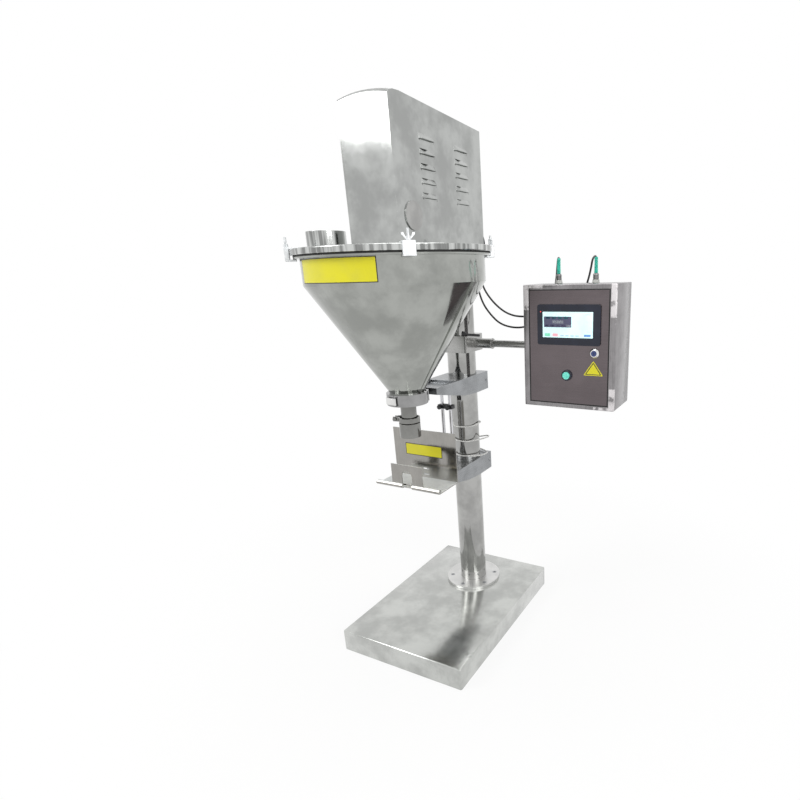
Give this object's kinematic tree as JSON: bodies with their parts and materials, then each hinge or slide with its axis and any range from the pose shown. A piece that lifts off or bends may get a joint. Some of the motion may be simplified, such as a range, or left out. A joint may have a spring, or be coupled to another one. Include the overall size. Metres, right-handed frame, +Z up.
{
  "type": "auger powder filler",
  "caption": "Auger powder filler with a clamped conical hopper, gear-driven agitator, motor hood, column stand, weighing tray and a control cabinet on an arm.",
  "frame": {"origin": "centre of the base's underside, on the floor", "axes": "+X to the operator's right, +Y to the rear, +Z up"},
  "size_m": [0.919, 0.818, 1.782],
  "materials": {
    "polished_stainless": "mirror polished stainless sheet",
    "satin_stainless": "satin stainless sheet",
    "brushed_stainless": "fine brushed stainless",
    "machined_steel": "machined steel",
    "aluminium": "milled aluminium",
    "chrome": "bright plated",
    "zinc_plate": "zinc plated sheet",
    "cast_housing": "painted casting",
    "black_plastic": "moulded black",
    "black_rubber": "black elastomer",
    "teal_sleeve": "moulded teal green",
    "green_button": "green lens",
    "pale_cable": "pale grey sheath"
  },
  "bodies": {
    "stand": {"base_cover": "satin_stainless", "base_chassis": "machined_steel", "column_tube": "polished_stainless", "column_flange": "satin_stainless", "column_head_block": "satin_stainless", "hopper_lid": "polished_stainless", "lid_gasket": "black_rubber", "head_plate": "satin_stainless", "motor_hood": "polished_stainless", "hub_bearing": "machined_steel", "motor_bridge": "cast_housing", "servo_motor": "black_plastic", "agitator_motor": "cast_housing", "hopper_shell": "polished_stainless", "lid_clamp_1": "satin_stainless", "lid_clamp_2": "satin_stainless", "lid_clamp_3": "satin_stainless", "lid_clamp_4": "satin_stainless", "collar_band_rear": "polished_stainless", "outlet_neck": "polished_stainless", "nozzle_sleeve": "polished_stainless", "nozzle_clamp": "satin_stainless", "upper_bracket": "satin_stainless", "upper_clamp_block": "machined_steel", "lower_bracket": "satin_stainless", "lower_clamp_block": "machined_steel", "load_cell": "aluminium", "tray": "satin_stainless", "guide_rod_left": "machined_steel", "guide_rod_right": "machined_steel", "signal_cable": "black_rubber", "power_cable": "black_rubber", "load_cell_cable": "pale_cable"},
    "auger": {"auger_screw": "satin_stainless", "shaft_coupling": "machined_steel"},
    "agitator": {"agitator_gear": "machined_steel", "agitator_frame": "satin_stainless"},
    "pinion": {"drive_pinion": "machined_steel"},
    "wing_screw_1": {"lid_wing_screw_1": "chrome"},
    "wing_screw_2": {"lid_wing_screw_2": "chrome"},
    "wing_screw_3": {"lid_wing_screw_3": "chrome"},
    "wing_screw_4": {"lid_wing_screw_4": "chrome"},
    "collar": {"collar_band_front": "polished_stainless"},
    "latch": {"collar_latch": "chrome"},
    "nozzle_screw": {"nozzle_wing_screw": "chrome"},
    "slider": {"rod_clamp": "black_plastic"},
    "knob_left": {"rod_knob_left": "black_plastic"},
    "knob_right": {"rod_knob_right": "black_plastic"},
    "arm": {"arm_clamp": "satin_stainless", "arm_tube": "satin_stainless", "cabinet_shell": "satin_stainless", "cabinet_gland_left": "teal_sleeve", "cabinet_gland_right": "teal_sleeve", "mounting_plate": "zinc_plate", "motor_drive": "black_plastic"},
    "lever": {"arm_lever": "black_plastic"},
    "door": {"cabinet_door": "brushed_stainless", "operator_panel": "black_plastic"},
    "lock": {"door_lock": "chrome"},
    "button": {"start_button": "green_button"}
  },
  "joints": [
    {"name": "auger_spin", "type": "hinge", "parent": "stand", "child": "auger", "pos_m": [0, -0.176, 1.2], "axis": [0, 0, 1], "continuous": true},
    {"name": "agitator_spin", "type": "hinge", "parent": "stand", "child": "agitator", "pos_m": [0, -0.176, 1.2], "axis": [0, 0, 1], "continuous": true},
    {"name": "pinion_spin", "type": "hinge", "parent": "stand", "child": "pinion", "pos_m": [0, -0.08, 1.412], "axis": [0, 0, 1], "continuous": true},
    {"name": "wing_screw_1_turn", "type": "hinge", "parent": "stand", "child": "wing_screw_1", "pos_m": [-0.21178, -0.38778, 1.395], "axis": [0, 0, 1], "range_deg": [-360, 360]},
    {"name": "wing_screw_2_turn", "type": "hinge", "parent": "stand", "child": "wing_screw_2", "pos_m": [0.21178, -0.38778, 1.395], "axis": [0, 0, 1], "range_deg": [-360, 360]},
    {"name": "wing_screw_3_turn", "type": "hinge", "parent": "stand", "child": "wing_screw_3", "pos_m": [0.21178, 0.03578, 1.395], "axis": [0, 0, 1], "range_deg": [-360, 360]},
    {"name": "wing_screw_4_turn", "type": "hinge", "parent": "stand", "child": "wing_screw_4", "pos_m": [-0.21178, 0.03578, 1.395], "axis": [0, 0, 1], "range_deg": [-360, 360]},
    {"name": "collar_swing", "type": "hinge", "parent": "stand", "child": "collar", "pos_m": [0.04326, -0.12445, 0.9305], "axis": [0, 0, 1], "range_deg": [0, 85]},
    {"name": "latch_swing", "type": "hinge", "parent": "collar", "child": "latch", "pos_m": [0.00739, -0.24862, 0.9305], "axis": [0, 0, 1], "range_deg": [0, 90]},
    {"name": "nozzle_screw_turn", "type": "hinge", "parent": "stand", "child": "nozzle_screw", "pos_m": [-0.0474, -0.18436, 0.857], "axis": [-0.1736, 0.9848, 0], "range_deg": [-360, 360]},
    {"name": "slider_lift", "type": "slide", "parent": "stand", "child": "slider", "axis": [0, 0, 1], "range_m": [-0.15, 0.02]},
    {"name": "knob_left_turn", "type": "hinge", "parent": "slider", "child": "knob_left", "pos_m": [-0.017, 0.032, 0.849], "axis": [0, 1, 0], "range_deg": [-180, 180]},
    {"name": "knob_right_turn", "type": "hinge", "parent": "slider", "child": "knob_right", "pos_m": [0.017, 0.032, 0.849], "axis": [0, 1, 0], "range_deg": [-180, 180]},
    {"name": "arm_swing", "type": "hinge", "parent": "stand", "child": "arm", "pos_m": [0, 0.167, 1.064], "axis": [0, 0, 1], "range_deg": [-15, 15], "deforming": ["signal_cable", "power_cable"]},
    {"name": "lever_turn", "type": "hinge", "parent": "arm", "child": "lever", "pos_m": [0.047, 0.12, 1.0943], "axis": [0, 0, 1], "range_deg": [-60, 20]},
    {"name": "door_swing", "type": "hinge", "parent": "arm", "child": "door", "pos_m": [0.351, 0.0265, 1.078], "axis": [0, 0, -1], "range_deg": [0, 105]},
    {"name": "lock_turn", "type": "hinge", "parent": "door", "child": "lock", "pos_m": [0.563, 0.023, 1.066], "axis": [0, 1, 0], "range_deg": [0, 90]},
    {"name": "button_press", "type": "slide", "parent": "door", "child": "button", "axis": [0, 1, 0], "range_m": [0, 0.004], "stiffness_N_per_m": 800}
  ],
  "couplings": [
    {"joint": "pinion_spin", "follows": "agitator_spin", "ratio": -3}
  ]
}
